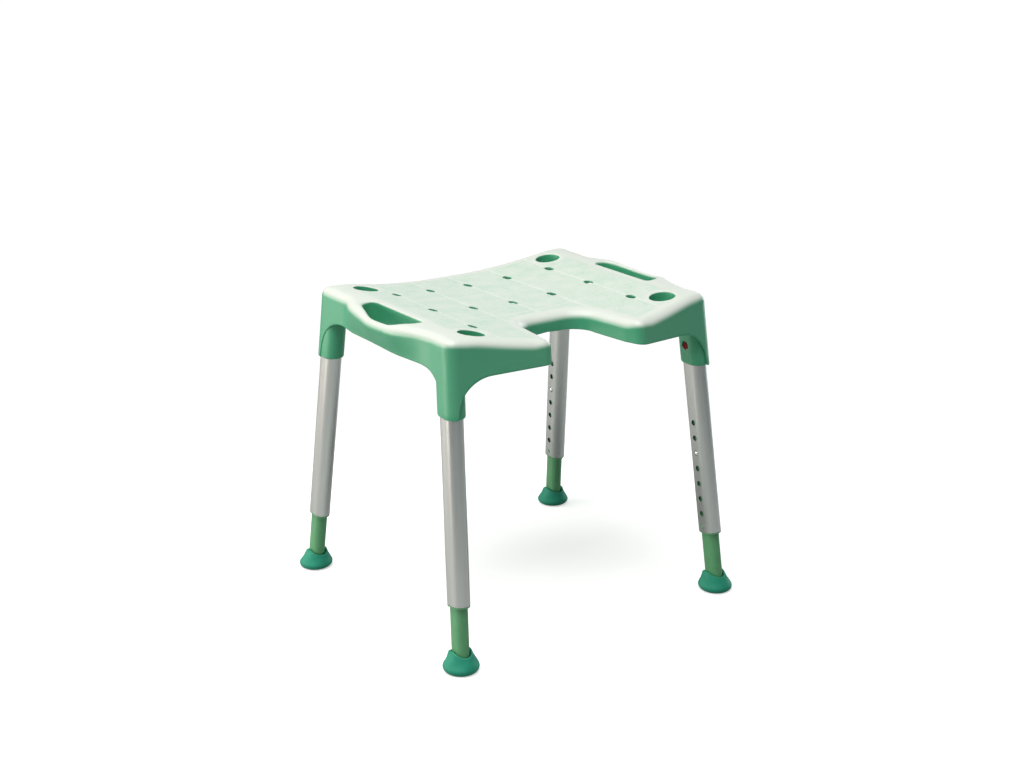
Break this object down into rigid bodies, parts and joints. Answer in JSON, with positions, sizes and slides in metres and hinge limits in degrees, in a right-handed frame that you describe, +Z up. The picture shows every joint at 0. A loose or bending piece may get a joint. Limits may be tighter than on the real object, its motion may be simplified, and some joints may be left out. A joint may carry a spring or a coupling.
{
  "type": "height-adjustable shower stool",
  "caption": "Free-standing shower stool: moulded dished seat with hygiene cut-out, handle slots and drain holes on telescopic legs with snap buttons and rubber feet.",
  "frame": {"origin": "on the floor, under the middle of the stool's box", "axes": "+Z up; +X the user's left-right direction; -Y the front, where the cut-out opens"},
  "size_m": [0.5378, 0.4984, 0.484],
  "materials": {
    "seat_mint_plastic": "pale mint moulded polypropylene, fine textured top, smooth satin skirt",
    "leg_aluminium": "satin anodised, drawn along the tube",
    "inner_leg_plastic": "yellowish-green satin moulded plastic",
    "bush_plastic": "light green satin moulded plastic",
    "foot_rubber": "sea-green matt rubber",
    "button_red": "deep red, slightly glossy",
    "button_steel": "bright turned stainless steel",
    "spring_steel": "bent stainless spring strip"
  },
  "bodies": {
    "root": {"seat_shell": "seat_mint_plastic", "front_left_leg_tube": "leg_aluminium", "front_left_guide_bush": "bush_plastic", "front_left_lock_spring": "spring_steel", "front_right_leg_tube": "leg_aluminium", "front_right_guide_bush": "bush_plastic", "front_right_lock_spring": "spring_steel", "back_left_leg_tube": "leg_aluminium", "back_left_guide_bush": "bush_plastic", "back_left_lock_spring": "spring_steel", "back_right_leg_tube": "leg_aluminium", "back_right_guide_bush": "bush_plastic", "back_right_lock_spring": "spring_steel"},
    "front_left_telescope": {"front_left_inner_leg": "inner_leg_plastic", "front_left_foot": "foot_rubber", "front_left_height_spring": "spring_steel"},
    "front_left_snap": {"front_left_height_button": "button_steel"},
    "front_left_lock": {"front_left_lock_button": "button_red"},
    "front_right_telescope": {"front_right_inner_leg": "inner_leg_plastic", "front_right_foot": "foot_rubber", "front_right_height_spring": "spring_steel"},
    "front_right_snap": {"front_right_height_button": "button_steel"},
    "front_right_lock": {"front_right_lock_button": "button_red"},
    "back_left_telescope": {"back_left_inner_leg": "inner_leg_plastic", "back_left_foot": "foot_rubber", "back_left_height_spring": "spring_steel"},
    "back_left_snap": {"back_left_height_button": "button_steel"},
    "back_left_lock": {"back_left_lock_button": "button_red"},
    "back_right_telescope": {"back_right_inner_leg": "inner_leg_plastic", "back_right_foot": "foot_rubber", "back_right_height_spring": "spring_steel"},
    "back_right_snap": {"back_right_height_button": "button_steel"},
    "back_right_lock": {"back_right_lock_button": "button_red"}
  },
  "joints": [
    {"name": "front_left_height_adjust", "type": "slide", "parent": "root", "child": "front_left_telescope", "axis": [-0.0515, -0.1239, -0.991], "range_m": [-0.05, 0.1]},
    {"name": "front_left_snap_press", "type": "slide", "parent": "front_left_telescope", "child": "front_left_snap", "axis": [-0.9987, 0.0064, 0.0511], "range_m": [0, 0.0045], "stiffness_N_per_m": 1500, "springref_m": -0.0015, "deforming": ["front_left_height_spring"]},
    {"name": "front_left_lock_press", "type": "slide", "parent": "root", "child": "front_left_lock", "axis": [-0.9987, 0.0064, 0.0511], "range_m": [0, 0.0036], "stiffness_N_per_m": 1500, "springref_m": -0.0015, "deforming": ["front_left_lock_spring"]},
    {"name": "front_right_height_adjust", "type": "slide", "parent": "root", "child": "front_right_telescope", "axis": [0.0515, -0.1239, -0.991], "range_m": [-0.05, 0.1]},
    {"name": "front_right_snap_press", "type": "slide", "parent": "front_right_telescope", "child": "front_right_snap", "axis": [0.9987, 0.0064, 0.0511], "range_m": [0, 0.0045], "stiffness_N_per_m": 1500, "springref_m": -0.0015, "deforming": ["front_right_height_spring"]},
    {"name": "front_right_lock_press", "type": "slide", "parent": "root", "child": "front_right_lock", "axis": [0.9987, 0.0064, 0.0511], "range_m": [0, 0.0036], "stiffness_N_per_m": 1500, "springref_m": -0.0015, "deforming": ["front_right_lock_spring"]},
    {"name": "back_left_height_adjust", "type": "slide", "parent": "root", "child": "back_left_telescope", "axis": [-0.0515, 0.1239, -0.991], "range_m": [-0.05, 0.1]},
    {"name": "back_left_snap_press", "type": "slide", "parent": "back_left_telescope", "child": "back_left_snap", "axis": [-0.9987, -0.0064, 0.0511], "range_m": [0, 0.0045], "stiffness_N_per_m": 1500, "springref_m": -0.0015, "deforming": ["back_left_height_spring"]},
    {"name": "back_left_lock_press", "type": "slide", "parent": "root", "child": "back_left_lock", "axis": [-0.9987, -0.0064, 0.0511], "range_m": [0, 0.0036], "stiffness_N_per_m": 1500, "springref_m": -0.0015, "deforming": ["back_left_lock_spring"]},
    {"name": "back_right_height_adjust", "type": "slide", "parent": "root", "child": "back_right_telescope", "axis": [0.0515, 0.1239, -0.991], "range_m": [-0.05, 0.1]},
    {"name": "back_right_snap_press", "type": "slide", "parent": "back_right_telescope", "child": "back_right_snap", "axis": [0.9987, -0.0064, 0.0511], "range_m": [0, 0.0045], "stiffness_N_per_m": 1500, "springref_m": -0.0015, "deforming": ["back_right_height_spring"]},
    {"name": "back_right_lock_press", "type": "slide", "parent": "root", "child": "back_right_lock", "axis": [0.9987, -0.0064, 0.0511], "range_m": [0, 0.0036], "stiffness_N_per_m": 1500, "springref_m": -0.0015, "deforming": ["back_right_lock_spring"]}
  ]
}
